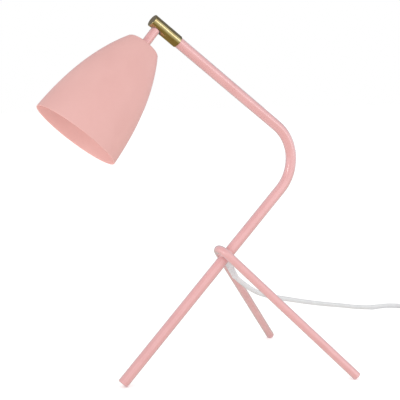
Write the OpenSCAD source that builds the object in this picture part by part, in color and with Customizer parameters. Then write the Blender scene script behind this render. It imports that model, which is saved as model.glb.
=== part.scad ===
// Tripod table lamp. One bent tube is the front leg and the arm, a hairpin of thinner
// tube is the two rear legs, and a ball in a brass sleeve carries the bell shade.
// The origin is on the table under the middle of the lamp: +Z up, shade towards -X.

/* [Main tube] */
// Outside diameter of the bent tube
tube_d = 12.7; // [12:0.1:13.5]
// Wall of the bent tube
tube_wall = 1; // [0.8:0.1:1.2]
// Slope of the front leg above the table, degrees
leg_rise = 45.6; // [42:0.2:50]
// Front leg, from its foot to where its line meets the arm's
leg_len = 348.8; // [320:0.2:380]
// Slope of the arm above the table, degrees
arm_rise = 36.7; // [32:0.1:42]
// Arm, from where its line meets the leg's to its end in the sleeve
arm_len = 227.1; // [190:0.1:260]
// Radius of the bend, on the tube's centre line
bend_r = 50; // [35:1:70]

/* [Rear legs] */
// Outside diameter of the hairpin tube
hair_d = 10; // [9:0.1:11]
// Wall of the hairpin tube
hair_wall = 1; // [0.8:0.1:1.2]
// Radius of the hairpin's bend, on its centre line
hair_bend_r = 13; // [12:0.1:15]
// Distance up the front leg to where the hairpin crosses it
knot_at = 187.1; // [160:0.1:210]
// Slope of the hairpin below the level, degrees
hair_pitch = 48.2; // [44:0.2:54]
// Splay of each rear leg from the middle, degrees
hair_splay = 24.7; // [20:0.1:30]
// Gap that the weld fills between the two tubes
seat_gap = 0.2; // [0.1:0.05:0.4]
// Thickness of each weld bead
bead_d = 3; // [2.4:0.1:3.4]

/* [Foot plugs] */
// Thickness of a plug's cap outside the tube
plug_cap = 2.5; // [2:0.1:4]
// Length of a plug's stub inside the tube
plug_stub = 9; // [6:0.5:14]
// Chamfer round a plug's cap
plug_chamfer = 0.8; // [0.4:0.1:1]
// Depth that the plugs are ground flat where they stand
floor_cut = 1; // [0.8:0.1:1.2]

/* [Sleeve joint] */
// Outside diameter of the brass sleeve
sleeve_d = 14.4; // [14.2:0.1:15.4]
// Length of the brass sleeve with its cap
sleeve_len = 38.4; // [38:0.1:44]
// Length of arm inside the sleeve
arm_in = 10; // [8:0.1:10.4]
// Rounding of the sleeve's near end
sleeve_round = 0.7; // [0.3:0.05:0.75]
// Thickness of the cap's flange
cap_flange = 1.6; // [1.2:0.1:2]
// Length of the cap's spigot
cap_spigot = 1.4; // [1:0.1:1.4]
// Distance of the ball's centre from the sleeve's far end
ball_from_end = 9.8; // [9.8:0.1:10.2]
// Diameter of the ball
ball_d = 11; // [10.6:0.1:11.4]
// Diameter of the ball's two side stubs
stub_d = 3; // [2.6:0.1:3.4]
// Thickness of the arm bush's collar
collar_t = 2; // [1.8:0.1:2.2]
// Length of the arm bush inside the tube
bush_in = 11; // [8:0.5:16]
// Diameter of the bush's shank
shank_d = 8; // [7.6:0.1:8.2]
// Bore of the bush for the leads
bush_bore = 5; // [4.8:0.1:5.4]
// Thickness of the sleeve's inner web
web_t = 3; // [2.4:0.1:3]
// Thickness of the friction washer
washer_t = 0.6; // [0.4:0.1:0.7]
// Thickness of the ring nut
ring_nut_t = 3; // [2:0.1:3]
// Thickness of the wave spring behind the seats
spring_t = 0.8; // [0.6:0.05:0.8]
// Swivel each way, degrees
swivel_each_way = 90; // [45:5:120]
// Diameter of the stop pin
stop_d = 1.6; // [1.4:0.1:1.7]

/* [Shade stem] */
// Outside diameter of the stem
stem_d = 10; // [9.6:0.1:10]
// Thread size that joins ball, stem, shade and lampholder
thread_d = 8; // [7.4:0.1:8.2]
// Bore for the leads through ball and stem
lead_bore = 4.8; // [4.6:0.1:5.2]
// Tilt of the shade at rest, outwards from square to the arm, degrees
rest_tilt = 3.4; // [0:0.2:6]
// Travel of the tilt inwards from rest, degrees
tilt_in = 15; // [10:1:20]
// Travel of the tilt outwards from rest, degrees
tilt_out = 10; // [4:1:10]

/* [Shade] */
// Distance from the ball's centre to the shade's crown
shade_top = 27.5; // [25:0.5:32]
// Distance from the ball's centre to the shade's rim
mouth_at = 151.4; // [140:0.2:170]
// Radius of the shade's rim
mouth_r = 50.8; // [46:0.2:58]
// Radius of the flat part of the crown
crown_r = 15.6; // [13:0.2:18]
// Rounding of the shoulder
shoulder_r = 5; // [3:0.5:7]
// Slope of the side below the shoulder, degrees from the axis
shoulder_slope = 30; // [26:1:36]
// Slope of the side at the rim, degrees from the axis
rim_slope = 2.4; // [1:0.2:6]
// Wall of the shade
shade_wall = 0.9; // [0.7:0.1:1.4]

/* [Lampholder and bulb] */
// Outside diameter of the lampholder
holder_d = 27; // [26:0.5:29]
// Wall of the lampholder's cap
holder_wall = 1.5; // [1.2:0.1:1.8]
// Height of the lampholder's cap
holder_cap_h = 12; // [11:0.5:14]
// Length of the lampholder's skirt below its cap
skirt_len = 26.5; // [24:0.5:30]
// Thickness of the ceramic insert
insert_t = 8; // [7:0.5:9]
// Outside diameter of the bulb's screw cap
bulb_thread_d = 13.9; // [13.8:0.05:14]
// Diameter of the bulb
bulb_d = 45; // [40:0.5:46]
// Length of the bulb with its screw cap
bulb_len = 77; // [72:0.5:80]

/* [Cord] */
// Diameter of the cord
cord_d = 6; // [5.6:0.1:6.2]
// Slope of the cord's way out of the tube below the level, degrees
exit_drop = 60; // [50:1:66]
// Distance up the front leg to the cord's hole
exit_at = 185.6; // [180:0.2:190]
// Length of the strain relief outside the tube
relief_len = 22; // [20:0.5:26]
// Diameter of the strain relief at the tube
relief_d = 9; // [8.6:0.1:9.4]
// Diameter of the strain relief at its tip
relief_tip_d = 7.2; // [7:0.1:7.6]
// Diameter of the hole in the tube
hole_d = 8; // [7.6:0.1:8.2]
// Diameter of one insulated lead
lead_d = 2.2; // [2:0.05:2.3]

/* [Coil] */
// Radius of the coil's innermost turn
coil_in_r = 25; // [24:0.5:30]
// Turns in the coil
coil_turns = 5.25; // [3.25:1:7.25]
// Distance between turns that lie beside or on each other
coil_pitch = 6.6; // [6.5:0.05:7]
// Width of the tie
tie_w = 6; // [4:0.5:10]
// Thickness of the tie
tie_t = 0.5; // [0.4:0.05:0.6]

/* [Cord switch] */
// Length of the switch
switch_len = 62; // [56:1:70]
// Width of the switch
switch_w = 26; // [24:0.5:30]
// Height of the switch
switch_h = 17; // [16:0.5:20]
// Height of the seam, where the cord runs
switch_seam = 8; // [7:0.1:9]
// Wall of the switch
switch_wall = 2; // [1.6:0.1:2.4]
// Length of the rocker
rocker_len = 15; // [13:0.5:17]
// Width of the rocker
rocker_w = 10; // [8:0.5:12]
// Travel of the rocker, degrees
rocker_throw = 14; // [8:1:16]
// Diameter of the rocker's pin
pin_d = 2; // [1.6:0.1:2.4]

/* [Plug] */
// Distance between the plug's pins
pin_gap = 18.6; // [17:0.1:19]
// Diameter of a plug pin
plug_pin_d = 4; // [3.8:0.1:4.2]
// Length of a plug pin
plug_pin_len = 19; // [17:0.5:20]
// Length of the sleeve on a plug pin
pin_sleeve_len = 10; // [8:0.5:11]
// Diameter of the sleeve on a plug pin
pin_sleeve_d = 3.6; // [3.4:0.1:3.8]
// Width of the plug's face
plug_w = 33; // [30:0.5:36]
// Thickness of the plug
plug_t = 14; // [13:0.5:16]
// Length of the plug's body
plug_len = 34; // [30:1:40]
// Length of the plug's strain relief
plug_relief = 20; // [20:1:26]

/* [Hidden] */
$fn = 48;

pink = [0.92, 0.68, 0.67];
brass = [0.72, 0.58, 0.27];
steel = [0.72, 0.73, 0.75];
cord_grey = [0.88, 0.88, 0.88];
nylon = [0.93, 0.92, 0.88];
ceramic = [0.95, 0.94, 0.91];
white_plastic = [0.93, 0.93, 0.92];

// Clearances: between turning faces, radially in turning fits, in pressed and screwed fits
face_gap = 0.1;
run_gap = 0.05;
press_gap = 0.03;
slot_gap = 0.15;
soft_gap = 0.3;
over = 1;       // how far a cut runs past what it cuts
big = 600;      // larger than the whole lamp
bend_thin = 0.06;                        // how much a bend draws the tube in
bend_lap = 0.2;                          // how far a straight run laps over the bend

// --- the bent line of leg and arm ---
leg_dir = [cos(leg_rise), 0, sin(leg_rise)];
arm_dir = [-cos(arm_rise), 0, sin(arm_rise)];
turn = 180 - leg_rise - arm_rise;
bend_run = bend_r * tan(turn / 2);
tube_id = tube_d - 2 * tube_wall;
foot_z = tube_d / 2 * cos(leg_rise) - floor_cut;

// --- the hairpin ---
hair_id = hair_d - 2 * hair_wall;
hair_mid = hair_bend_r - (tube_d + hair_d) / 2 - seat_gap;
hair_rise = asin(sin(hair_pitch) * cos(hair_splay));
rear_z = hair_d / 2 * cos(hair_rise) - floor_cut;
knot_z = foot_z + knot_at * leg_dir[2];
rear_run = (knot_z - rear_z) / sin(hair_pitch);
hair_start = [hair_mid - hair_bend_r * sin(hair_splay), hair_bend_r * cos(hair_splay)];
hair_len = (rear_run - hair_start[0]) / cos(hair_splay);
rear_y = hair_start[1] + hair_len * sin(hair_splay);

// --- the shade's direction, and where the lamp's middle is ---
shade_drop = 90 - arm_rise - rest_tilt;
ball_run = arm_len + sleeve_len - arm_in - ball_from_end;
low_x = (leg_len * leg_dir + ball_run * arm_dir)[0]
    - mouth_at * cos(shade_drop) - mouth_r * sin(shade_drop);
high_x = knot_at * leg_dir[0] + rear_run * cos(hair_pitch) + hair_d / 2
    * sqrt(1 - pow(cos(hair_pitch) * cos(hair_splay), 2));
foot_x = -(low_x + high_x) / 2;
foot = [foot_x, 0, foot_z];
vertex = foot + leg_len * leg_dir;
arm_end = vertex + arm_len * arm_dir;
ball_at = vertex + ball_run * arm_dir;
knot = foot + knot_at * leg_dir;

// --- places along the sleeve, from the arm's end outwards ---
sleeve_id = tube_d + 2 * run_gap;
fit_d = sleeve_id - 2 * run_gap;          // what is pushed into the sleeve
web_from = collar_t + face_gap;
web_to = web_from + web_t;
washer_from = web_to + face_gap;
nut_from = washer_from + washer_t;
nut_to = nut_from + ring_nut_t;
spring_from = nut_to + 2 * face_gap;
seat_from = spring_from + spring_t;
ball_z = sleeve_len - arm_in - ball_from_end;
sleeve_end = sleeve_len - arm_in;
cap_from = sleeve_end - cap_flange - cap_spigot;
shank_end = nut_to + face_gap;
tilt_far = tilt_out + rest_tilt;
tilt_near = tilt_in - rest_tilt;
function slot_reach(t) = sleeve_d / 2 * tan(t) + (stem_d / 2 + slot_gap) / cos(t);
slot_half = stem_d / 2 + slot_gap;

// --- places along the stem, from the ball's centre towards the mouth ---
stem_from = ball_d / 2 + face_gap;
ball_stub_to = 16;                        // end of the ball's threaded stub
nipple_from = ball_stub_to + 0.5;
washer2_t = 1;
nut2_t = 3.5;
washer2_from = shade_top + shade_wall;
nut2_from = washer2_from + washer2_t;
holder_from = nut2_from + nut2_t + face_gap;
holder_base = 2.5;                        // thickness of the holder cap's end
nipple_to = holder_from + holder_base + 1.5;
insert_from = nipple_to + 1.6;
holder_split = holder_from + holder_cap_h;
insert_to = insert_from + insert_t;
skirt_to = holder_split + skirt_len;
neck_d = holder_d - 2 * holder_wall - 2 * press_gap;
neck_id = neck_d - 3;
shell_from = insert_to + 0.2;
thread_depth = 0.5;                       // half the depth of the screw cap's waves
thread_pitch = 2.8;
shell_t = 0.5;
thread_gap = 0.15;
contact_t = 0.8;
bulb_from = shell_from + contact_t + face_gap;
bulb_tip_t = 1.6;
bulb_cap_from = bulb_from + bulb_tip_t;
bulb_cap_len = 17;
bulb_neck_r = 11;
bulb_wall = 0.8;
bulb_mid = bulb_from + bulb_len - bulb_d / 2;

// --- the cord, from the strain relief to the plug ---
cord_r = cord_d / 2;
sit = cord_r + 0.1;                       // height of a cord's centre on the table
exit = foot + exit_at * leg_dir;
exit_dir = [cos(exit_drop), 0, -sin(exit_drop)];
skin_run = tube_d / 2 / sin(exit_drop + leg_rise);   // tube's axis to its skin, that way
relief_to = skin_run + relief_len;
cord_in = 12;                             // depth of the cord in the relief
cord_grip = 5;                            // depth that the cord reaches into switch and plug
switch_x = 436;
switch_y = 64;
cord_points = [
    [60, 0, 115], [63, 0, 110], [70, 3, 104.5], [80, 8, 97.5], [92, 14, 90], [110, 24, 81],
    [135, 37, 71.5], [165, 53, 62], [200, 71, 51], [235, 89, 40.5], [270, 107, 30.5],
    [305, 124, 21], [340, 140, 11.5], [372, 153, 4.5], [391, 156, 3.1], [408, 153, 3.1],
    [422, 143, 3.1], [432, 128, 3.6], [436, 112, 7], [switch_x, switch_y + switch_len / 2 + cord_d,
        switch_seam], [switch_x, switch_y + switch_len / 2 - cord_grip, switch_seam]];
cord_steps = 3;                           // rings from one point of the route to the next
cord_sides = 10;

function unit(v) = v / norm(v);
// Curve through the points, by Catmull and Rom's rule, k steps to each
function through(p, k) = [
    for (i = [0 : len(p) - 2]) for (j = [0 : k - 1]) let (
        t = j / k,
        a = p[max(i - 1, 0)], b = p[i], c = p[i + 1], d = p[min(i + 2, len(p) - 1)])
        0.5 * ((2 * b) + (c - a) * t + (2 * a - 5 * b + 4 * c - d) * t * t
            + (3 * b - a - 3 * c + d) * t * t * t),
    p[len(p) - 1]];
function run_of(p) = [for (i = 1, s = 0; i <= len(p); s = i < len(p) ?
    s + norm(p[i] - p[i - 1]) : s, i = i + 1) s];
function length_of(p) = run_of(p)[len(p) - 1];
function heading(p, i) = unit(p[min(i + 1, len(p) - 1)] - p[max(i - 1, 0)]);
function ring(c, t, r, n) = let (a = unit(cross([0, 0, 1], t)), b = cross(t, a))
    [for (k = [0 : n - 1]) c + r * (cos(360 * k / n) * a + sin(360 * k / n) * b)];

// A tube along points, as one closed mesh of triangles
module tube_along(p, r, n) {
    m = len(p);
    skin = [for (i = [0 : m - 1]) each ring(p[i], heading(p, i), r, n)];
    ends = [p[0], p[m - 1]];
    sides = [for (i = [0 : m - 2]) for (k = [0 : n - 1]) let (
        a = i * n + k, b = i * n + (k + 1) % n, c = a + n, d = b + n)
        each [[a, b, d], [a, d, c]]];
    caps = [for (k = [0 : n - 1]) each [
        [m * n, (k + 1) % n, k],
        [m * n + 1, (m - 1) * n + k, (m - 1) * n + (k + 1) % n]]];
    polyhedron(points = concat(skin, ends), faces = concat(sides, caps));
}

// --- the coil ---
coil_half = coil_turns / 2;
coil_out_r = coil_in_r + coil_pitch * coil_half;
coil_low = cord_r + tie_t + 0.1;
coil_high = coil_low + coil_pitch;
coil_mid = [switch_x - coil_out_r, -14];
coil_rings = 24;                          // rings in a turn
function ease(t) = let (u = min(max(t, 0), 1)) u * u * (3 - 2 * u);
function coil_point(u) = let (
    r = coil_in_r + coil_pitch * abs(u - coil_half),
    z = coil_low + (coil_high - coil_low) * ease((u - coil_half + 0.25) / 0.5))
    [coil_mid[0] + r * cos(360 * u), coil_mid[1] - r * sin(360 * u), z];
coil_tail = 34;                           // from the coil to the plug
plug_y = coil_mid[1] - coil_out_r;
plug_x = coil_mid[0] - coil_tail;
switch_out = switch_y - switch_len / 2;
coil_route = concat(
    [[switch_x, switch_out + cord_grip, switch_seam],
        [switch_x, switch_out - cord_d, switch_seam],
        [switch_x, switch_out - 18, 6.4], [switch_x, switch_out - 32, 4.2]],
    [for (k = [0 : coil_rings * coil_turns]) coil_point(k / coil_rings)],
    [[coil_mid[0] - 12, plug_y, coil_high - 0.4], [coil_mid[0] - 22, plug_y, 8],
        [plug_x + cord_d, plug_y, plug_t / 2],
        [plug_x - cord_grip, plug_y, plug_t / 2]]);
// Least gap between turns: points at least a third of a turn apart
coil_gap = min([for (i = [0 : len(coil_route) - 9]) for (j = [i + 8 : len(coil_route) - 1])
    norm(coil_route[i] - coil_route[j])]) - cord_d;
cord_line = through(cord_points, cord_steps);
echo(coil_gap = coil_gap, cord_visible = length_of(cord_line),
    coil_length = length_of(coil_route));
echo(cord_length = cord_in + length_of(cord_line) + switch_len - 2 * cord_grip
    + length_of(coil_route));

// --- frames of the lamp's pieces ---
module at_leg() translate(foot) rotate([0, 90 - leg_rise, 0]) children();
module at_vertex() translate(vertex) rotate([0, arm_rise - 90, 0]) children();
module at_arm_end() translate(arm_end) rotate([0, arm_rise - 90, 0]) children();
module at_ball() translate(ball_at) rotate([0, 270 - shade_drop, 0]) children();
module at_knot() translate(knot) rotate([0, hair_pitch, 0]) children();
module at_exit() translate(exit) rotate([0, 90 + exit_drop, 0]) children();
module at_rear_foot(side)
    at_knot() translate([rear_run, side * rear_y, 0]) rotate([0, 0, side * hair_splay])
        rotate([0, -90, 0]) children();

// A rod that follows the leg, the bend and the arm, off the middle by y. Bending draws a
// tube in a little, and the straight runs lap over the ends of the bend.
module bent_rod(d, from, to, y = 0) {
    at_leg() translate([0, y, from]) cylinder(d = d, h = leg_len - bend_run - from + bend_lap);
    at_leg() translate([-bend_r, 0, leg_len - bend_run]) rotate([90, 0, 0])
        rotate_extrude(angle = turn) translate([bend_r, -y]) circle(d = d - bend_thin);
    at_vertex() translate([0, y, bend_run - bend_lap]) cylinder(d = d, h = to - bend_run + bend_lap);
}

module hair_rod(d, cut) at_knot() {
    translate([hair_mid, 0, 0]) rotate([0, 0, 90 + hair_splay])
        rotate_extrude(angle = 180 - 2 * hair_splay) translate([hair_bend_r, 0])
            circle(d = d - bend_thin);
    for (side = [-1, 1]) translate([hair_start[0], side * hair_start[1], 0])
        rotate([0, 0, side * hair_splay]) rotate([0, 90, 0]) translate([0, 0, -bend_lap])
            cylinder(d = d, h = hair_len - cut + bend_lap);
}

module main_tube() color(pink) difference() {
    bent_rod(tube_d, plug_cap, arm_len);
    bent_rod(tube_id, plug_cap - over, arm_len + over);
    at_exit() cylinder(d = hole_d, h = tube_d);
}

module rear_leg_tube() color(pink) difference() {
    hair_rod(hair_d, plug_cap);
    hair_rod(hair_id, plug_cap - over);
}

// Two welds where the hairpin's bend sits on the back of the front leg
module weld_beads() color(pink) difference() {
    at_leg() for (way = [-1, 1]) translate([0, 0, knot_at + way * hair_d * 0.36])
        rotate([0, 0, 135]) rotate_extrude(angle = 90)
            translate([tube_d / 2 + bead_d * 0.4, 0]) circle(d = bead_d);
    at_leg() cylinder(d = tube_d + 2 * press_gap, h = leg_len - bend_run);
    hair_rod(hair_d + 2 * press_gap, plug_cap);
}

// A plug for a tube's end, with its cap from 0 up to plug_cap
module foot_plug(d, id) {
    cylinder(d1 = d - 2 * plug_chamfer, d2 = d, h = plug_chamfer);
    translate([0, 0, plug_chamfer]) cylinder(d = d, h = plug_cap - plug_chamfer);
    translate([0, 0, plug_cap]) cylinder(d = id - 2 * press_gap, h = plug_stub);
}

module ground_flat() difference() {
    children();
    translate([-big, -big, -big]) cube([2 * big, 2 * big, big]);
}

module front_foot_plug() color(pink) ground_flat() at_leg() foot_plug(tube_d, tube_id);
module left_foot_plug() color(pink) ground_flat() at_rear_foot(1) foot_plug(hair_d, hair_id);
module right_foot_plug() color(pink) ground_flat() at_rear_foot(-1) foot_plug(hair_d, hair_id);

// Tapered strain relief, saddled on the tube and pressed into its hole
module cord_bush() color(white_plastic) difference() {
    at_exit() union() {
        translate([0, 0, 2]) cylinder(d = hole_d - 2 * press_gap, h = skin_run);
        difference() {
            translate([0, 0, skin_run - 3])
                cylinder(d1 = relief_d, d2 = relief_tip_d, h = relief_len + 3);
            rotate([0, -90 - exit_drop, 0]) rotate([0, 90 - leg_rise, 0])
                translate([0, 0, -tube_d * 2])
                    cylinder(d = tube_d + 2 * press_gap, h = tube_d * 4);
        }
    }
    at_exit() translate([0, 0, relief_to - cord_in]) cylinder(d = cord_d + 0.1, h = cord_in + over);
    at_exit() cylinder(d = 2 * lead_d + 0.5, h = relief_to - over);
}

module arm_bush() color(steel) at_arm_end() difference() {
    union() {
        translate([0, 0, -bush_in]) cylinder(d = tube_id - 2 * press_gap, h = bush_in);
        cylinder(d = tube_d, h = collar_t);
        cylinder(d = shank_d, h = shank_end);
    }
    translate([0, 0, -bush_in - over]) cylinder(d = bush_bore, h = bush_in + shank_end + 2 * over);
    // groove that lets the stop pin travel
    translate([0, 0, collar_t / 2]) rotate([0, 0, -swivel_each_way - stop_turn])
        rotate_extrude(angle = 2 * (swivel_each_way + stop_turn))
            translate([stop_r - stop_d / 2 - 0.1, 0]) square([stop_d + 0.2, collar_t]);
}

stop_r = (shank_d + tube_d) / 4;
stop_turn = 2 * atan((stop_d / 2 + 0.1) / stop_r) / 2;   // half the pin's own width as an angle

module stop_pin() color(steel) at_arm_end() translate([stop_r, 0, collar_t / 2 + 0.2])
    cylinder(d = stop_d, h = web_from + web_t / 2 - collar_t / 2 - 0.2);

module friction_washer() color(steel) at_arm_end() translate([0, 0, washer_from])
    flat_ring(shank_d + 2 * press_gap, sleeve_id - 1, washer_t);

module flat_ring(id, od, h) difference() {
    cylinder(d = od, h = h);
    translate([0, 0, -over]) cylinder(d = id, h = h + 2 * over);
}

module swivel_nut() color(steel) at_arm_end() translate([0, 0, nut_from]) difference() {
    flat_ring(shank_d + 2 * press_gap, sleeve_id - 1, ring_nut_t);
    for (a = [0, 90]) rotate([0, 0, 45 + a]) translate([-sleeve_id, -0.8, ring_nut_t - 1])
        cube([2 * sleeve_id, 1.6, 1 + over]);
}

// The slot that the stem tilts in, cut to the sleeve's underside (-X here)
module stem_slot() {
    near = ball_z - slot_reach(tilt_near) + slot_half;
    far = ball_z + slot_reach(tilt_far) - slot_half;
    rotate([0, -90, 0]) linear_extrude(sleeve_d) union() {
        translate([near, 0]) circle(r = slot_half);
        translate([far, 0]) circle(r = slot_half);
        translate([near, -slot_half]) square([far - near, 2 * slot_half]);
    }
}

module brass_sleeve() color(brass) at_arm_end() difference() {
    translate([0, 0, -arm_in]) rotate_extrude() union() {
        translate([0, sleeve_round])
            square([sleeve_d / 2, sleeve_len - cap_flange - sleeve_round]);
        square([sleeve_d / 2 - sleeve_round, sleeve_len / 2]);
        translate([sleeve_d / 2 - sleeve_round, sleeve_round]) circle(r = sleeve_round);
    }
    translate([0, 0, -arm_in - over]) cylinder(d = sleeve_id, h = arm_in + over + web_from);
    cylinder(d = shank_d + 2 * run_gap, h = sleeve_len);
    translate([0, 0, web_to]) cylinder(d = sleeve_id, h = sleeve_len);
    translate([stop_r, 0, 0]) cylinder(d = stop_d + 2 * press_gap, h = web_from + web_t / 2);
    stem_slot();
}

module sleeve_cap() color(brass) at_arm_end() {
    translate([0, 0, cap_from]) cylinder(d = fit_d, h = cap_spigot + 0.5);
    translate([0, 0, sleeve_end - cap_flange]) rotate_extrude() union() {
        square([sleeve_d / 2, cap_flange - sleeve_round]);
        square([sleeve_d / 2 - sleeve_round, cap_flange]);
        translate([sleeve_d / 2 - sleeve_round, cap_flange - sleeve_round])
            circle(r = sleeve_round);
    }
}

// What both seats are hollowed by: the ball, its stubs, the stem's travel and the leads
module seat_cut() {
    translate([0, 0, ball_z]) sphere(d = ball_d + 2 * face_gap);
    translate([0, 0, ball_z]) rotate([90, 0, 0])
        cylinder(d = stub_d + 2 * run_gap, h = sleeve_d, center = true);
    translate([-sleeve_d - 0.5, -slot_half, ball_z - slot_reach(tilt_near)])
        cube([sleeve_d, 2 * slot_half, slot_reach(tilt_near) + slot_reach(tilt_far)]);
}

module ball_seat_inner() color(nylon) at_arm_end() difference() {
    translate([0, 0, seat_from]) cylinder(d = fit_d, h = ball_z - face_gap - seat_from);
    translate([0, 0, seat_from - over]) cylinder(d = shank_d, h = ball_z - seat_from);
    seat_cut();
}

module ball_seat_outer() color(nylon) at_arm_end() difference() {
    translate([0, 0, ball_z + face_gap])
        cylinder(d = fit_d, h = cap_from - ball_z - 2 * face_gap);
    seat_cut();
}

module seat_spring() color(steel) at_arm_end() translate([0, 0, spring_from]) intersection() {
    flat_ring(shank_d + 1, sleeve_id - 1, spring_t);
    // three waves, from three pairs of slanting halves
    union() for (a = [0, 120, 240]) rotate([0, 0, a]) translate([0, 0, spring_t / 2])
        rotate([0, 3, 0]) translate([-sleeve_d, -sleeve_d, -spring_t / 3])
            cube([2 * sleeve_d, 2 * sleeve_d, spring_t * 2 / 3]);
}

module tilt_ball() color(steel) difference() {
    union() {
        translate(ball_at) sphere(d = ball_d);
        translate(ball_at) rotate([90, 0, 0]) cylinder(d = stub_d, h = fit_d - 0.3, center = true);
        at_ball() cylinder(d = thread_d, h = ball_stub_to);
    }
    at_ball() cylinder(d = lead_bore, h = ball_stub_to + over);
    translate(ball_at) rotate([0, arm_rise + 90, 0]) cylinder(d = lead_bore, h = ball_d);
    translate(ball_at) sphere(d = lead_bore);
}

module shade_stem() color(pink) at_ball() translate([0, 0, stem_from])
    flat_ring(thread_d + 2 * press_gap, stem_d, shade_top - stem_from);

module stem_nipple() color(brass) at_ball() translate([0, 0, nipple_from])
    flat_ring(lead_bore, thread_d, nipple_to - nipple_from);

// --- the shade's profile: crown, shoulder arc, then one curve to the rim ---
shoulder_steps = 6;
side_steps = 22;
function shoulder(a, w) = [crown_r + (shoulder_r - w) * cos(a),
    shade_top + shoulder_r - (shoulder_r - w) * sin(a)];
side_a = shoulder(shoulder_slope, 0);
side_b = [mouth_r, mouth_at];
// where the two end slopes meet
side_k = ((side_b[0] - side_a[0]) - (side_b[1] - side_a[1]) * tan(rim_slope))
    / (sin(shoulder_slope) - cos(shoulder_slope) * tan(rim_slope));
side_c = side_a + side_k * [sin(shoulder_slope), cos(shoulder_slope)];
function side(t) = (1 - t) * (1 - t) * side_a + 2 * t * (1 - t) * side_c + t * t * side_b;
function side_way(t) = unit((1 - t) * (side_c - side_a) + t * (side_b - side_c));
function side_in(t, w) = side(t) + w * [-side_way(t)[1], side_way(t)[0]];
function shade_line(w) = concat(
    [for (k = [0 : shoulder_steps]) shoulder(90 - (90 - shoulder_slope) * k / shoulder_steps, w)],
    [for (k = [1 : side_steps]) side_in(k / side_steps, w)]);
function reversed(p) = [for (i = [len(p) - 1 : -1 : 0]) p[i]];

module shade() color(pink) at_ball() rotate_extrude($fn = 96) polygon(concat(
    [[thread_d / 2 + run_gap, shade_top]], shade_line(0),
    reversed(shade_line(shade_wall)), [[thread_d / 2 + run_gap, shade_top + shade_wall]]));

module shade_washer() color(steel) at_ball() translate([0, 0, washer2_from])
    flat_ring(thread_d + 2 * press_gap, thread_d * 2, washer2_t);

module shade_nut() color(steel) at_ball() translate([0, 0, nut2_from]) difference() {
    cylinder(d = thread_d * 1.85, h = nut2_t, $fn = 6);
    translate([0, 0, -over]) cylinder(d = thread_d + 2 * press_gap, h = nut2_t + 2 * over);
}

module holder_cap() color(white_plastic) at_ball() translate([0, 0, holder_from]) difference() {
    union() {
        translate([0, 0, holder_base])
            cylinder(d = holder_d, h = holder_cap_h - holder_base - face_gap);
        cylinder(d1 = holder_d - 5, d2 = holder_d, h = holder_base);
    }
    translate([0, 0, -over]) cylinder(d = thread_d + 2 * press_gap, h = holder_cap_h);
    translate([0, 0, holder_base]) cylinder(d = holder_d - 2 * holder_wall, h = holder_cap_h);
}

screw_at = 6.5;                           // terminal screws, from the holder's middle
screw_d = 2.6;

module holder_insert() color(ceramic) at_ball() difference() {
    translate([0, 0, insert_from]) cylinder(d = neck_id - 2 * press_gap, h = insert_t);
    for (side = [-1, 1]) translate([side * screw_at, 0, insert_from - over])
        cylinder(d = screw_d + 2 * press_gap, h = insert_t - 1);
    for (side = [-1, 1]) translate([0, side * lead_y, insert_from - over])
        cylinder(d = lead_d + 0.2, h = 3 + over);
}

module terminal_screws() color(brass) at_ball() for (side = [-1, 1])
    translate([side * screw_at, 0, insert_from]) difference() {
        union() {
            translate([0, 0, -1.2]) cylinder(d = 4.2, h = 1.15);
            translate([0, 0, -0.5]) cylinder(d = screw_d, h = insert_t - 2);
        }
        translate([-3, -0.3, -1.2 - over]) cube([6, 0.6, 0.5 + over]);
    }

module holder_skirt() color(white_plastic) at_ball() difference() {
    union() {
        translate([0, 0, insert_from]) cylinder(d = neck_d, h = holder_split - insert_from);
        translate([0, 0, holder_split]) cylinder(d = holder_d, h = skirt_len - 1);
        translate([0, 0, skirt_to - 1]) cylinder(d1 = holder_d, d2 = holder_d - 1.6, h = 1);
        for (k = [0 : 4]) translate([0, 0, holder_split + 8 + k * 3]) rotate_extrude()
            polygon([[holder_d / 2 - 0.2, 0], [holder_d / 2 + 0.6, 0.8], [holder_d / 2 - 0.2, 1.6]]);
    }
    translate([0, 0, insert_from - over]) cylinder(d = neck_id, h = insert_t + over + 0.1);
    translate([0, 0, insert_to]) cylinder(d = holder_d - 2 * holder_wall, h = big / 4);
}

// One side of a screw cap's waves, from 0 up to h, at radius r in the middle of a wave
wave_steps = 4;
function waves(r, h) = [for (k = [0 : ceil(h / thread_pitch) * wave_steps]) let (
    z = min(k * thread_pitch / wave_steps, h))
    [r - thread_depth / 2 * cos(360 * z / thread_pitch), z]];

thread_r = bulb_thread_d / 2 - thread_depth / 2;
shell_r = thread_r + thread_gap;
shell_first = bulb_cap_from + 1 - thread_pitch;
shell_waves = bulb_cap_len;

// The shell's waves keep step with the bulb's
module holder_shell() color(brass) at_ball() rotate_extrude() polygon(concat(
    [[shell_r - thread_depth / 2, shell_from]],
    [for (p = waves(shell_r, shell_waves)) p + [0, shell_first]],
    reversed([for (p = waves(shell_r + shell_t, shell_waves)) p + [0, shell_first]]),
    [[shell_r - thread_depth / 2 + shell_t, shell_from]]));

module centre_contact() color(brass) at_ball() translate([-3, -2, shell_from])
    cube([6, 4, contact_t]);

module bulb_tip() color(steel) at_ball() translate([0, 0, bulb_from])
    cylinder(d1 = 4, d2 = 9, h = bulb_tip_t);

module bulb_cap() color(steel) at_ball() translate([0, 0, bulb_cap_from]) rotate_extrude()
    polygon(concat([[0, 0], [4.5, 0]], [for (p = waves(thread_r, bulb_cap_len - 1)) p + [0, 1]],
        [[thread_r - 1, bulb_cap_len], [0, bulb_cap_len]]));

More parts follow.
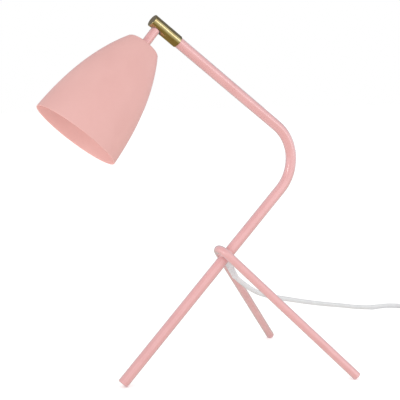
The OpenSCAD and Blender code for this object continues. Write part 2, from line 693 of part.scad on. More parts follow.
// Bulb's outline: a neck that swells into the globe
bulb_neck_from = bulb_cap_from + bulb_cap_len;
function globe(a, w) = [(bulb_d / 2 - w) * sin(a), bulb_mid - (bulb_d / 2 - w) * cos(a)];
function bulb_line(w) = concat([[thread_r - 1.2 - w, bulb_neck_from + 0.05],
    [bulb_neck_r - w, bulb_neck_from + 3]], [for (a = [40 : 10 : 180]) globe(a, w)]);

module bulb_glass() color([0.97, 0.97, 0.95, 0.6]) at_ball() rotate_extrude($fn = 64)
    polygon(concat(bulb_line(0), reversed(bulb_line(bulb_wall))));

module lead_in_tube(y) bent_rod(lead_d, exit_at - 2, arm_len + shank_end - 0.5, y);
lead_y = lead_d / 2 + 0.08;
module tube_lead_brown() color([0.4, 0.25, 0.15]) lead_in_tube(lead_y);
module tube_lead_blue() color([0.15, 0.3, 0.6]) lead_in_tube(-lead_y);

module lead_in_stem(y) at_ball() translate([0, y, lead_d])
    cylinder(d = lead_d, h = insert_from + 2 - lead_d);
module stem_lead_brown() color([0.4, 0.25, 0.15]) lead_in_stem(lead_y);
module stem_lead_blue() color([0.15, 0.3, 0.6]) lead_in_stem(-lead_y);

// --- the cord and what is on it ---
module supply_cord() color(cord_grey) tube_along(concat(
    [exit + (relief_to - cord_in + face_gap) * exit_dir, exit + (relief_to - 1) * exit_dir],
    [for (i = [1 : len(cord_line) - 1]) cord_line[i]]), cord_r, cord_sides);

module cord_coil() color(cord_grey) tube_along(coil_route, cord_r, 6);

// A flat strap round the coil's bundle, on the side away from the switch
module coil_tie() color([0.2, 0.2, 0.21]) {
    outer = coil_out_r - coil_pitch / 2 + cord_r + soft_gap + tie_t;
    wide = outer + tie_t - (coil_in_r - cord_r - soft_gap);
    high = coil_high + cord_r + soft_gap;
    translate([coil_mid[0] - outer, coil_mid[1] + tie_w / 2, 0])
        rotate([90, 0, 0]) linear_extrude(tie_w) difference() {
            strap_outline(wide, high + tie_t, cord_r);
            translate([tie_t, tie_t]) strap_outline(wide - 2 * tie_t, high - tie_t, cord_r - tie_t);
        }
}

module strap_outline(w, h, r) {
    translate([r, 0]) square([w - 2 * r, h]);
    translate([0, r]) square([w, h - 2 * r]);
    for (x = [r, w - r]) for (y = [r, h - r]) translate([x, y]) circle(r = r);
}

module at_switch() translate([switch_x, switch_y, 0]) rotate([0, 0, 90]) children();

module switch_outline(inset) {
    r = switch_w / 2 - inset;
    half = switch_len / 2 - inset;
    translate([-half + r, -r]) square([2 * (half - r), 2 * r]);
    for (way = [-1, 1]) translate([way * (half - r), 0]) circle(r = r);
}

module cord_way() translate([0, 0, switch_seam]) rotate([0, 90, 0])
    cylinder(d = cord_d + 0.2, h = switch_len + 2 * over, center = true);

switch_screw_x = 21;
switch_screw_y = 7.5;
switch_screw_d = 2.6;
module at_switch_screws() for (x = [-1, 1]) for (y = [-1, 1])
    translate([x * switch_screw_x, y * switch_screw_y, 0]) children();

module switch_base() color(white_plastic) at_switch() difference() {
    union() {
        difference() {
            linear_extrude(switch_seam - face_gap / 2) switch_outline(0);
            translate([0, 0, switch_wall]) linear_extrude(switch_seam) switch_outline(switch_wall);
        }
        at_switch_screws() cylinder(d = 6, h = switch_seam - face_gap / 2);
        for (way = [-1, 1]) translate([way * 17, 0, switch_wall / 2]) translate([-1.5, -5, 0])
            cube([3, 10, switch_seam - switch_wall / 2 - face_gap / 2]);
    }
    cord_way();
    at_switch_screws() translate([0, 0, -over]) cylinder(d = 5, h = 2.5 + over);
    at_switch_screws() translate([0, 0, -over]) cylinder(d = switch_screw_d + 0.2, h = big / 10);
}

rocker_z = switch_h - 3.4;                // height of the rocker's pin
rocker_top = 4.4;                         // height of the rocker's ends above its pin
rocker_reach = rocker_len / 2 + rocker_top * sin(rocker_throw / 2) + soft_gap;
module switch_cover() color(white_plastic) at_switch() difference() {
    union() {
        difference() {
            translate([0, 0, switch_seam + face_gap / 2]) union() {
                linear_extrude(switch_h - switch_seam - 2) switch_outline(0);
                linear_extrude(switch_h - switch_seam - 1) switch_outline(0.6);
                linear_extrude(switch_h - switch_seam - face_gap / 2) switch_outline(1.8);
            }
            linear_extrude(switch_h - switch_wall) switch_outline(switch_wall);
        }
        at_switch_screws() translate([0, 0, switch_seam + face_gap / 2])
            cylinder(d = 6, h = switch_h - switch_seam - switch_wall);
        for (way = [-1, 1]) translate([-3, way * (rocker_w / 2 + 1.5) - 1.2, rocker_z - 2.4])
            cube([6, 2.4, switch_h - switch_wall / 2 - rocker_z + 2.4]);
    }
    translate([-rocker_reach, -rocker_w / 2 - soft_gap, switch_seam])
        cube([2 * rocker_reach, rocker_w + 2 * soft_gap, switch_h]);
    cord_way();
    at_switch_screws() cylinder(d = switch_screw_d + 2 * press_gap, h = switch_h - 4);
    translate([0, 0, rocker_z]) rotate([90, 0, 0])
        cylinder(d = pin_d + 2 * press_gap, h = rocker_w + 4.2, center = true);
}

module switch_screws() color(steel) at_switch() at_switch_screws() difference() {
    union() {
        translate([0, 0, 1]) cylinder(d = 4.6, h = 1.45);
        translate([0, 0, 1]) cylinder(d = switch_screw_d, h = switch_h - 6);
    }
    for (a = [0, 90]) rotate([0, 0, a]) translate([-1.6, -0.3, 0]) cube([3.2, 0.6, 1.8]);
}

module rocker_pin() color(steel) at_switch() translate([0, 0, rocker_z]) rotate([90, 0, 0])
    cylinder(d = pin_d, h = rocker_w + 4, center = true);

// The rocker's side view: a dished top over a keel that works the contacts
module switch_rocker() color([0.86, 0.86, 0.85]) at_switch() translate([0, 0, rocker_z])
    rotate([0, rocker_throw / 2, 0]) difference() {
        rotate([90, 0, 0]) translate([0, 0, -rocker_w / 2]) linear_extrude(rocker_w)
            polygon([[-rocker_len / 2, 0.6], [-rocker_len / 2, rocker_top], [-rocker_len / 4, 3.6],
                [0, 3.3], [rocker_len / 4, 3.6], [rocker_len / 2, rocker_top],
                [rocker_len / 2, 0.6], [1.8, -2.2], [1, -6], [-1, -6], [-1.8, -2.2]]);
        rotate([90, 0, 0]) cylinder(d = pin_d + 2 * run_gap, h = 2 * rocker_w, center = true);
    }

module switch_contacts() color(brass) at_switch() for (way = [-1, 1])
    translate([way * 7 - 3, -2, switch_wall]) {
        cube([6, 4, 0.8]);
        translate([way * 2.6 + 2.6, 0, 0]) cube([0.8, 4, 4.6]);
    }

pin_root = 8;                             // length of a pin held in the plug's body
pin_tip = 1;                              // length of a pin's tapered tip
pin_waist_d = plug_pin_d - 1;             // a pin under its sleeve
relief_neck_d = cord_d + 1.6;             // the plug's strain relief: at its tip,
relief_root_d = cord_d + 4;               // at the plug,
relief_rib_d = cord_d + 4.4;              // and over its ribs
relief_rib_t = 1.6;
module at_plug() translate([plug_x, plug_y, plug_t / 2]) rotate([0, -90, 0]) children();

// The plug's body and its ribbed strain relief; +Z runs from the cord to the pins
module plug_body() color(white_plastic) at_plug() difference() {
    union() {
        cylinder(d1 = relief_neck_d, d2 = relief_root_d, h = plug_relief + over);
        for (k = [1 : 4]) translate([0, 0, plug_relief * k / 5 - 1])
            cylinder(d = relief_rib_d, h = relief_rib_t);
        translate([0, 0, plug_relief]) hull() {
            cylinder(d = cord_d + 5, h = 1);
            translate([0, 0, plug_len - 12]) plug_plate(2, 1);
            translate([0, 0, plug_len - 1.5]) plug_plate(2, 1.5);
        }
    }
    translate([0, 0, -over]) cylinder(d = cord_d + 0.1, h = over + cord_grip + face_gap);
    for (side = [-1, 1]) translate([0, side * pin_gap / 2, plug_relief + plug_len - pin_root])
        cylinder(d = plug_pin_d + 2 * press_gap, h = pin_root + over);
}

module plug_plate(r, h) linear_extrude(h) union() {
    square([plug_t - 2 * r, plug_w], center = true);
    square([plug_t, plug_w - 2 * r], center = true);
    for (x = [-1, 1]) for (y = [-1, 1])
        translate([x * (plug_t / 2 - r), y * (plug_w / 2 - r)]) circle(r = r, $fn = 24);
}

module plug_pins() color(brass) at_plug() for (side = [-1, 1])
    translate([0, side * pin_gap / 2, plug_relief + plug_len - pin_root]) {
        cylinder(d = plug_pin_d, h = pin_root);
        cylinder(d = pin_waist_d, h = pin_root + pin_sleeve_len + over);
        translate([0, 0, pin_root + pin_sleeve_len])
            cylinder(d = plug_pin_d, h = plug_pin_len - pin_sleeve_len - pin_tip);
        translate([0, 0, pin_root + plug_pin_len - pin_tip])
            cylinder(d1 = plug_pin_d, d2 = plug_pin_d / 2, h = pin_tip);
    }

module plug_pin_sleeves() color([0.12, 0.12, 0.13]) at_plug() for (side = [-1, 1])
    translate([0, side * pin_gap / 2, plug_relief + plug_len])
        flat_ring(pin_waist_d + 2 * press_gap, pin_sleeve_d, pin_sleeve_len - press_gap);

main_tube();
rear_leg_tube();
weld_beads();
front_foot_plug();
left_foot_plug();
right_foot_plug();
cord_bush();
arm_bush();
friction_washer();
swivel_nut();
tube_lead_brown();
tube_lead_blue();
brass_sleeve();
sleeve_cap();
stop_pin();
ball_seat_inner();
ball_seat_outer();
seat_spring();
tilt_ball();
shade_stem();
stem_nipple();
shade();
shade_washer();
shade_nut();
holder_cap();
holder_insert();
holder_skirt();
holder_shell();
centre_contact();
terminal_screws();
stem_lead_brown();
stem_lead_blue();
bulb_cap();
bulb_tip();
bulb_glass();
supply_cord();
cord_coil();
coil_tie();
switch_base();
switch_cover();
switch_screws();
switch_contacts();
switch_rocker();
rocker_pin();
plug_body();
plug_pins();
plug_pin_sleeves();
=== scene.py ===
from math import atan2, copysign, cos, pi, radians, sin, tan

import bmesh
import bpy
from mathutils import Matrix, Vector
from mathutils.geometry import interpolate_bezier


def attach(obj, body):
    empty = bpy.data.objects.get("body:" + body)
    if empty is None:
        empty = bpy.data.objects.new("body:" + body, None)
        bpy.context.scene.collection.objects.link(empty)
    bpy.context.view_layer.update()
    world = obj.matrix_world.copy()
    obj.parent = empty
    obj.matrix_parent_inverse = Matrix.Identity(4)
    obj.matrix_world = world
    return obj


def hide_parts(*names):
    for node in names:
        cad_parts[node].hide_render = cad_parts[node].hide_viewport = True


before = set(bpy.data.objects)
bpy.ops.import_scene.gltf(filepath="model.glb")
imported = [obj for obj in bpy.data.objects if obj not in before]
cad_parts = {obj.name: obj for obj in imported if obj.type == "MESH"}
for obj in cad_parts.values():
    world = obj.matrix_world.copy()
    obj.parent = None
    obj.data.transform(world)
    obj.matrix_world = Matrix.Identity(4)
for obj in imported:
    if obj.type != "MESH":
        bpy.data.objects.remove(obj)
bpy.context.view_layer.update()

mm = 0.001
bpy.context.scene.view_settings.view_transform = "Standard"


# ---------------------------------------------------------------- the lamp's own sizes, in metres
tube_d = 12.7 * mm
leg_rise = radians(45.6)
leg_len = 348.8 * mm
arm_slope = 36.7
arm_rise = radians(arm_slope)
arm_len = 227.1 * mm
foot = Vector((-82.88, 0, 3.443)) * mm
leg_dir = Vector((cos(leg_rise), 0, sin(leg_rise)))
arm_dir = Vector((-cos(arm_rise), 0, sin(arm_rise)))
vertex = foot + leg_len * leg_dir
arm_end = vertex + arm_len * arm_dir

# the hairpin's tube, and where it crosses the front leg
hair_d = 10 * mm
knot_at = 187.1 * mm

# the brass sleeve, and the ball in it that carries the shade
sleeve_len = 38.4 * mm
arm_in = 10 * mm
ball_in = 9.8 * mm
ball_at = vertex + (arm_len + sleeve_len - arm_in - ball_in) * arm_dir
shade_lean = 3.4
shade_drop = radians(90 - arm_slope - shade_lean)

# frames whose Z runs along a piece's own axis
at_leg = Matrix.Translation(foot) @ Matrix.Rotation(pi / 2 - leg_rise, 4, "Y")
at_arm_end = Matrix.Translation(arm_end) @ Matrix.Rotation(arm_rise - pi / 2, 4, "Y")
at_ball = Matrix.Translation(ball_at) @ Matrix.Rotation(3 * pi / 2 - shade_drop, 4, "Y")


# ---------------------------------------------------------------- camera
photo_place = (-0.47972, -0.96805, 0.35743)
photo_down = 7.96
photo_turn = -27.04
photo_lens = 86.95


def add_camera():
    """The camera at the photograph's place: on the shade's side, looking slightly down."""
    data = bpy.data.cameras.new("photo_camera")
    data.sensor_width = 36
    data.lens = photo_lens
    camera = bpy.data.objects.new("photo_camera", data)
    camera.location = photo_place
    camera.rotation_euler = (radians(90 - photo_down), 0, radians(photo_turn))
    bpy.context.scene.collection.objects.link(camera)
    bpy.context.scene.camera = camera


add_camera()


# ---------------------------------------------------------------- the cord, on the route of the part
def ease(t):
    """A soft start and a soft end on the way from 0 to 1."""
    return t * t * (3 - 2 * t)


def smooth_way(points, steps):
    """A curve through the points, with that many steps from one to the next."""
    way = []
    for i in range(len(points) - 1):
        a, b = points[max(i - 1, 0)], points[i]
        c, d = points[i + 1], points[min(i + 2, len(points) - 1)]
        for j in range(steps):
            t = j / steps
            way.append(0.5 * (2 * b + (c - a) * t + (2 * a - 5 * b + 4 * c - d) * t * t
                              + (3 * b - a - 3 * c + d) * t ** 3))
    return way + [points[-1]]


def add_tube(name, way, diameter, body, sides=6):
    """A round tube of one open spline along a way."""
    curve = bpy.data.curves.new(name, "CURVE")
    curve.dimensions = "3D"
    curve.bevel_depth = 1
    curve.bevel_resolution = sides
    curve.use_fill_caps = True
    spline = curve.splines.new("POLY")
    spline.points.add(len(way) - 1)
    for point, place in zip(spline.points, way):
        point.co = (*place, 1)
        point.radius = diameter / 2
    spline.use_smooth = True
    piece = bpy.data.objects.new(name, curve)
    bpy.context.scene.collection.objects.link(piece)
    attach(piece, body)
    return piece


cord_d = 6 * mm
cord_play = 0.1 * mm
cord_grip = 5 * mm
relief_grip = 12 * mm
exit_drop = radians(60)
exit_dir = Vector((cos(exit_drop), 0, -sin(exit_drop)))
relief_tip = Vector((61.274, 0, 111.287)) * mm

# from the strain relief down to the table and along it to the switch
cord_start = relief_tip - (relief_grip - cord_play) * exit_dir
cord_points = [
    Vector(p) * mm for p in (
        (60, 0, 115), (63, 0, 110), (70, 3, 104.5), (80, 8, 97.5), (92, 14, 90), (110, 24, 81),
        (135, 37, 71.5), (165, 53, 62), (200, 71, 51), (235, 89, 40.5), (270, 107, 30.5),
        (305, 124, 21), (340, 140, 11.5), (372, 153, 4.5), (391, 156, 3.1), (408, 153, 3.1),
        (422, 143, 3.1), (432, 128, 3.6), (436, 112, 7), (436, 101, 8), (436, 90, 8))]
way_steps = 6
steps_inside_relief = 4
free_way = ([cord_start, relief_tip - mm * exit_dir]
            + smooth_way(cord_points, way_steps)[steps_inside_relief:])
supply_cord = add_tube("supply_cord_free", free_way, cord_d, "stand")
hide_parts("supply_cord")

# the rest of the cord: from the switch into the coil, and out of it to the plug
switch_at = Vector((436, 64, 0)) * mm
switch_len = 62 * mm
switch_seam = 8 * mm
switch_out = switch_at.y - switch_len / 2
coil_in_r = 25 * mm
coil_turns = 5.25
coil_pitch = 6.6 * mm
coil_half = coil_turns / 2
coil_climb = 0.5
coil_out_r = coil_in_r + coil_pitch * coil_half
coil_low = 3.6 * mm
coil_high = coil_low + coil_pitch
coil_mid = Vector((switch_at.x - coil_out_r, -14 * mm, 0))
plug_at = Vector((coil_mid.x - 34 * mm, coil_mid.y - coil_out_r, 7 * mm))


def coil_point(turn):
    """A place in the coil: in on the lower layer, out again on the upper one."""
    radius = coil_in_r + coil_pitch * abs(turn - coil_half)
    climbed = min(max((turn - coil_half + coil_climb / 2) / coil_climb, 0), 1)
    return Vector((coil_mid.x + radius * cos(2 * pi * turn),
                   coil_mid.y - radius * sin(2 * pi * turn),
                   coil_low + coil_pitch * ease(climbed)))


lead_steps = 4
turn_steps = 48
switch_lead = [
    Vector((switch_at.x, switch_out + along, height)) for along, height in (
        (cord_grip, switch_seam), (-cord_d, switch_seam), (-18 * mm, 6.4 * mm),
        (-32 * mm, 4.2 * mm))]
plug_lead = [
    Vector((along, plug_at.y, height)) for along, height in (
        (coil_mid.x - 12 * mm, coil_high - 0.4 * mm), (coil_mid.x - 22 * mm, 8 * mm),
        (plug_at.x + cord_d, plug_at.z), (plug_at.x - cord_grip, plug_at.z))]
coil_way = smooth_way(switch_lead + [coil_point(0)], lead_steps)
coil_way += [coil_point(k / turn_steps) for k in range(1, int(turn_steps * coil_turns))]
coil_way += smooth_way([coil_point(coil_turns)] + plug_lead, lead_steps)
coil_cord = add_tube("supply_cord_coiled", coil_way, cord_d, "stand")
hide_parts("cord_coil")


# ---------------------------------------------------------------- making pieces
def keep_piece(bm, name, body, smooth=radians(35)):
    """Closes a shape, turns its faces outwards and makes it a piece that rides a body."""
    bmesh.ops.remove_doubles(bm, verts=bm.verts, dist=0.002 * mm)
    bmesh.ops.recalc_face_normals(bm, faces=bm.faces)
    mesh = bpy.data.meshes.new(name)
    bm.to_mesh(mesh)
    bm.free()
    for face in mesh.polygons:
        face.use_smooth = True
    mesh.set_sharp_from_angle(angle=smooth)
    piece = bpy.data.objects.new(name, mesh)
    bpy.context.scene.collection.objects.link(piece)
    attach(piece, body)
    return piece


def verts_of(geometry):
    """The vertices among what an operator made."""
    return [part for part in geometry if isinstance(part, bmesh.types.BMVert)]


def edges_of(geometry):
    """The edges among what an operator made."""
    return [part for part in geometry if isinstance(part, bmesh.types.BMEdge)]


def draw_line(bm, points, at, closed=False):
    """Points (radius, along) joined by edges in the XZ plane of a frame; gives its geometry."""
    verts = [bm.verts.new(at @ Vector((r, 0, z))) for r, z in points]
    edges = [bm.edges.new(pair) for pair in zip(verts, verts[1:])]
    if closed:
        edges.append(bm.edges.new((verts[-1], verts[0])))
    return verts + edges


def add_ring(bm, at, along, half_x, half_y, squareness=2, straight=0, count=64):
    """A closed ring across a frame's Z axis: round, squared off, or drawn out along X."""
    verts = bmesh.ops.create_circle(bm, cap_ends=False, segments=count, radius=1)["verts"]
    for vert in verts:
        x, y = vert.co.x, vert.co.y
        out = copysign(abs(x) ** (2 / squareness), x) * half_x + copysign(straight, round(x, 6))
        vert.co = at @ Vector((out, copysign(abs(y) ** (2 / squareness), y) * half_y, along))
    return list({edge for vert in verts for edge in vert.link_edges})


def join_rings(bm, at, sizes, closed=False):
    """Rings joined one to the next; the last goes back to the first, or both ends are filled."""
    rings = [add_ring(bm, at, *size) for size in sizes]
    for one, other in zip(rings, rings[1:] + rings[:1] if closed else rings[1:]):
        bmesh.ops.bridge_loops(bm, edges=one + other)
    if not closed:
        for ring in (rings[0], rings[-1]):
            bmesh.ops.holes_fill(bm, edges=ring, sides=0)


def turn_profile(bm, points, at, steps=96, closed=True):
    """A profile turned all the way round the Z axis of a frame."""
    axis = (at.to_3x3() @ Vector((0, 0, 1))).normalized()
    bmesh.ops.spin(bm, geom=draw_line(bm, points, at, closed), cent=at.to_translation(), axis=axis,
                   angle=2 * pi, steps=steps, use_merge=True)


def arc(cx, cz, r, start, end, steps):
    """Points on an arc, for a profile; angles in degrees from the radius outwards."""
    return [(cx + r * cos(radians(start + (end - start) * k / steps)),
             cz + r * sin(radians(start + (end - start) * k / steps))) for k in range(steps + 1)]


def round_over(r, steps):
    """A rounded edge from its side to its top: how far in and how far down each step lies."""
    return [(r * (1 - cos(k * pi / 2 / steps)), r * (1 - sin(k * pi / 2 / steps)))
            for k in range(steps + 1)]


# ---------------------------------------------------------------- the shade
crown_r = 15.6 * mm
crown_ring_r = crown_r * 0.6
shade_top = 27.5 * mm
shoulder_r = 5 * mm
shoulder_slope = 30
shoulder_steps = 10
side_steps = 48
mouth_r = 50.8 * mm
mouth_at = 151.4 * mm
rim_slope = radians(2.4)
shade_wall = 0.9 * mm
nipple_hole_r = 4.05 * mm


def shoulder(angle, inset):
    """A place on the rounded shoulder between the flat crown and the side."""
    return Vector((crown_r + (shoulder_r - inset) * cos(radians(angle)),
                   shade_top + shoulder_r - (shoulder_r - inset) * sin(radians(angle))))


def shade_side(t, inset):
    """The side of the shade from shoulder to rim; inset moves it in, square to itself."""
    top = shoulder(shoulder_slope, 0)
    rim = Vector((mouth_r, mouth_at))
    slope = radians(shoulder_slope)
    reach = (((rim.x - top.x) - (rim.y - top.y) * tan(rim_slope))
             / (sin(slope) - cos(slope) * tan(rim_slope)))
    knee = top + reach * Vector((sin(slope), cos(slope)))
    place = (1 - t) ** 2 * top + 2 * t * (1 - t) * knee + t * t * rim
    way = ((1 - t) * (knee - top) + t * (rim - knee)).normalized()
    return place + inset * Vector((-way.y, way.x))


def make_bell_shade():
    """Spun aluminium bell: flat crown, rounded shoulder, long curve and a rounded rim."""
    turns = [90 - (90 - shoulder_slope) * k / shoulder_steps for k in range(shoulder_steps + 1)]
    outside = [(nipple_hole_r, shade_top), (crown_ring_r, shade_top)]
    outside += [tuple(shoulder(turn, 0)) for turn in turns]
    outside += [tuple(shade_side(k / side_steps, 0)) for k in range(1, side_steps)]
    inside = [tuple(shade_side(k / side_steps, shade_wall)) for k in range(side_steps - 1, 0, -1)]
    inside += [tuple(shoulder(turn, shade_wall)) for turn in reversed(turns)]
    inside += [(crown_ring_r, shade_top + shade_wall), (nipple_hole_r, shade_top + shade_wall)]
    half_wall = shade_wall / 2
    rounded = arc(mouth_r - half_wall, mouth_at - half_wall, half_wall, 0, 180, 6)
    bm = bmesh.new()
    turn_profile(bm, outside + rounded + inside, at_ball, 160)
    return keep_piece(bm, "bell_shade", "head", radians(50))


bell_shade = make_bell_shade()
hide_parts("shade")


# ---------------------------------------------------------------- the bulb
bulb_from = 47.7 * mm
bulb_len = 77 * mm
bulb_r = 22.5 * mm
bulb_wall = 0.8 * mm
bulb_mid = bulb_from + bulb_len - bulb_r
bulb_neck_r = 11 * mm
bulb_neck_at = 69.3 * mm
bulb_collar_r = 5.5 * mm
bulb_collar_at = 66.35 * mm
collar_steps = 8
neck_pull = 6 * mm
globe_pull = 7 * mm
neck_steps = 14
globe_from = radians(52)
globe_steps = 30


def bulb_outline(inset):
    """From the screw cap over a rounded collar, up the neck and round the globe to its pole."""
    r = bulb_r - inset
    wide = bulb_neck_r - bulb_collar_r
    high = bulb_neck_at - bulb_collar_at
    collar = [(bulb_collar_r - inset + wide * sin(k * pi / 2 / collar_steps),
               bulb_collar_at + inset + high * (1 - cos(k * pi / 2 / collar_steps)))
              for k in range(collar_steps)]
    start = Vector((bulb_neck_r - inset, bulb_neck_at + inset, 0))
    end = Vector((r * sin(globe_from), bulb_mid - r * cos(globe_from), 0))
    way_at_end = Vector((cos(globe_from), sin(globe_from), 0))
    neck = interpolate_bezier(start, start + Vector((0, neck_pull, 0)),
                              end - globe_pull * way_at_end, end, neck_steps)
    angles = [globe_from + (pi - globe_from) * k / globe_steps for k in range(1, globe_steps + 1)]
    globe = [(r * sin(angle), bulb_mid - r * cos(angle)) for angle in angles]
    return collar + [tuple(point.to_2d()) for point in neck] + globe


def make_bulb_globe():
    """Blown glass of one thickness: globe, neck and collar in one smooth line."""
    bm = bmesh.new()
    turn_profile(bm, bulb_outline(bulb_wall)[::-1] + bulb_outline(0), at_ball, 96, closed=False)
    return keep_piece(bm, "bulb_globe", "head", radians(60))


bulb_globe = make_bulb_globe()
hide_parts("bulb_glass")


# ---------------------------------------------------------------- the strain relief
exit_at = 185.6 * mm
exit_hole_r = 3.9 * mm
skin_run = tube_d / 2 / sin(exit_drop + leg_rise)
relief_from = 2.2 * mm
relief_root = skin_run - 2.4 * mm
relief_to = skin_run + 22 * mm
relief_big_r = 4.4 * mm
relief_small_r = 3.6 * mm
relief_edge_r = 0.35 * mm
relief_bore_r = 3.05 * mm
relief_inner_r = 2.45 * mm
groove_count = 5
groove_first = 4.6 * mm
groove_pitch = 3.4 * mm
# one groove: how far along from its middle, and how deep, in millimetres
groove_line = ((-0.75, 0), (-0.6, 0.1), (-0.4, 0.35), (0.4, 0.35), (0.6, 0.13), (0.75, 0.02))
at_exit = (Matrix.Translation(foot + exit_at * leg_dir)
           @ Matrix.Rotation(pi / 2 + exit_drop, 4, "Y"))


def make_strain_relief():
    """Tapered rubber sleeve with bending grooves, from the hole in the tube to the free cord."""
    profile = [(exit_hole_r, relief_from), (exit_hole_r, relief_root), (relief_big_r, relief_root)]
    for k in range(groove_count):
        middle = skin_run + groove_first + k * groove_pitch
        taper = (middle - relief_root) / (relief_to - relief_root)
        here = relief_big_r + (relief_small_r - relief_big_r) * taper
        profile += [(here - deep * mm, middle + along * mm) for along, deep in groove_line]
    profile += arc(relief_small_r - relief_edge_r, relief_to - relief_edge_r, relief_edge_r, 0, 90, 4)
    profile += [(relief_bore_r, relief_to), (relief_bore_r, relief_to - relief_grip),
                (relief_inner_r, relief_to - relief_grip), (relief_inner_r, relief_from)]
    bm = bmesh.new()
    turn_profile(bm, profile, at_exit, 64)
    return keep_piece(bm, "strain_relief", "stand")


strain_relief = make_strain_relief()
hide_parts("cord_bush")


# ---------------------------------------------------------------- the welds
bead_d = 3 * mm
bead_ring_r = tube_d / 2 + bead_d * 0.4
bead_from = radians(135)
bead_beside = 0.36
ripples = 64
ripple_depth = 0.06
bead_end_size = 0.55
bead_end_growth = 4


def add_weld(bm, way):
    """One bead in the corner between the front leg and the hairpin, with its ripples."""
    lie = Matrix.Rotation(bead_from, 4, "Z") @ Matrix.Translation((bead_ring_r, 0, 0))
    start = bmesh.ops.create_circle(bm, cap_ends=True, segments=16, radius=bead_d / 2,
                                    matrix=lie @ Matrix.Rotation(pi / 2, 4, "X"))["verts"]
    faces = list({face for vert in start for face in vert.link_faces})
    edges = list({edge for vert in start for edge in vert.link_edges})
    bmesh.ops.spin(bm, geom=start + edges + faces, cent=(0, 0, 0), axis=(0, 0, 1),
                   angle=pi / 2, steps=96, use_merge=False)
    bead = [vert for vert in bm.verts if not vert.tag]
    for vert in bead:
        turn = atan2(vert.co.y, vert.co.x)
        core = Vector((cos(turn), sin(turn), 0)) * bead_ring_r
        from_end = abs(abs(turn) - bead_from)
        ripple = 1 - ripple_depth * (0.5 + 0.5 * cos(turn * ripples))
        size = ripple * min(1, bead_end_size + bead_end_growth * from_end)
        vert.co = core + (vert.co - core) * size
        vert.tag = True
    up = at_leg @ Matrix.Translation((0, 0, knot_at + way * hair_d * bead_beside))
    bmesh.ops.transform(bm, matrix=up, verts=bead)


def make_welds():
    """The two beads, one on each side of the hairpin's crossing."""
    bm = bmesh.new()
    for way in (-1, 1):
        add_weld(bm, way)
    return keep_piece(bm, "rippled_welds", "stand", radians(70))


rippled_welds = make_welds()
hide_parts("weld_beads")


# ---------------------------------------------------------------- the strap round the coil
strap_t = 0.5 * mm
strap_w = 6 * mm
strap_slack = 0.3 * mm
strap_lift = 0.02 * mm
strap_lap = 1.1 * strap_t
strap_corner_r = cord_d / 2 - strap_t / 2
corner_steps = 8


def strap_line():
    """The strip's line round the turns; lengths along its lap are in corner radii."""
    clear = cord_d / 2 + strap_slack + strap_t / 2
    left = coil_mid.x - (coil_out_r - coil_pitch / 2 + clear)
    right = coil_mid.x - coil_in_r + clear
    low = strap_t / 2 + strap_lift
    high = coil_high + clear
    r = strap_corner_r
    line = [(right - 4 * r, high)]
    for x, z, turn in ((left + r, high - r, 90), (left + r, low + r, 180),
                       (right - r, low + r, 270), (right - r, high - r, 0)):
        line += arc(x, z, r, turn, turn + 90, corner_steps)
    line += [(right - 2.5 * r, high), (right - 3.4 * r, high + 0.3 * strap_lap),
             (right - 4.2 * r, high + strap_lap), (left + 1.6 * r, high + strap_lap),
             (left + 1.2 * r, high + 0.8 * strap_lap)]
    return line


def make_coil_strap():
    """One strip round the coil's turns; its end climbs over its start and lies flat on top."""
    side = Matrix.Translation((0, coil_mid.y - strap_w / 2, 0))
    bm = bmesh.new()
    edges = edges_of(draw_line(bm, strap_line(), side))
    made = bmesh.ops.extrude_edge_only(bm, edges=edges)["geom"]
    bmesh.ops.translate(bm, vec=(0, strap_w, 0), verts=verts_of(made))
    piece = keep_piece(bm, "coil_strap", "stand", radians(50))
    thick = piece.modifiers.new("thickness", "SOLIDIFY")
    thick.thickness = strap_t
    thick.offset = 0
    thick.use_even_offset = True
    return piece


coil_strap = make_coil_strap()
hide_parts("coil_tie")


# ---------------------------------------------------------------- the cord switch
switch_w = 26 * mm
switch_h = 17 * mm
switch_wall = 2 * mm
cover_seam = switch_seam + 0.05 * mm
cover_seam_edge = 0.25 * mm
cover_edge_r = 2.2 * mm
cover_inner_edge = 1 * mm
opening_half_len = 8.34 * mm
opening_half_w = 5.3 * mm
opening_squareness = 16
opening_edge_r = 0.5 * mm
rocker_pin_at = 13.6 * mm
rocker_len = 15 * mm
rocker_w = 10 * mm
rocker_rest = radians(7)
rocker_edge_r = 0.35 * mm
dish_at = 3.3 * mm
dish_rise = 1.1 * mm
dish_steps = 8
rocker_side_at = 0.6 * mm
keel_half_top, keel_top = 1.8 * mm, -2.2 * mm
keel_half_foot, keel_foot = 1 * mm, -6 * mm
at_switch = Matrix.Translation(switch_at) @ Matrix.Rotation(pi / 2, 4, "Z")
at_rocker = (at_switch @ Matrix.Translation((0, 0, rocker_pin_at))
             @ Matrix.Rotation(rocker_rest, 4, "Y"))


def long_ring(along, inset):
    """Size of a ring that follows the switch's outline, that far inside it."""
    half = switch_w / 2
    return (along, half - inset, half - inset, 2, switch_len / 2 - half)


def make_switch_cover():
    """Hollow cover with a rounded top edge and an opening for the rocker, its rim softened."""
    inner_top = switch_h - switch_wall
    sizes = [long_ring(cover_seam, cover_seam_edge), long_ring(cover_seam + cover_seam_edge, 0)]
    sizes += [long_ring(switch_h - down, inward) for inward, down in round_over(cover_edge_r, 8)]
    sizes += [(switch_h - down, opening_half_len + inward, opening_half_w + inward,
               opening_squareness) for inward, down in reversed(round_over(opening_edge_r, 4))]
    sizes += [(inner_top, opening_half_len, opening_half_w, opening_squareness),
              long_ring(inner_top, switch_wall + cover_inner_edge),
              long_ring(inner_top - cover_inner_edge, switch_wall),
              long_ring(cover_seam, switch_wall)]
    bm = bmesh.new()
    join_rings(bm, at_switch, sizes, closed=True)
    return keep_piece(bm, "rounded_switch_cover", "stand", radians(40))


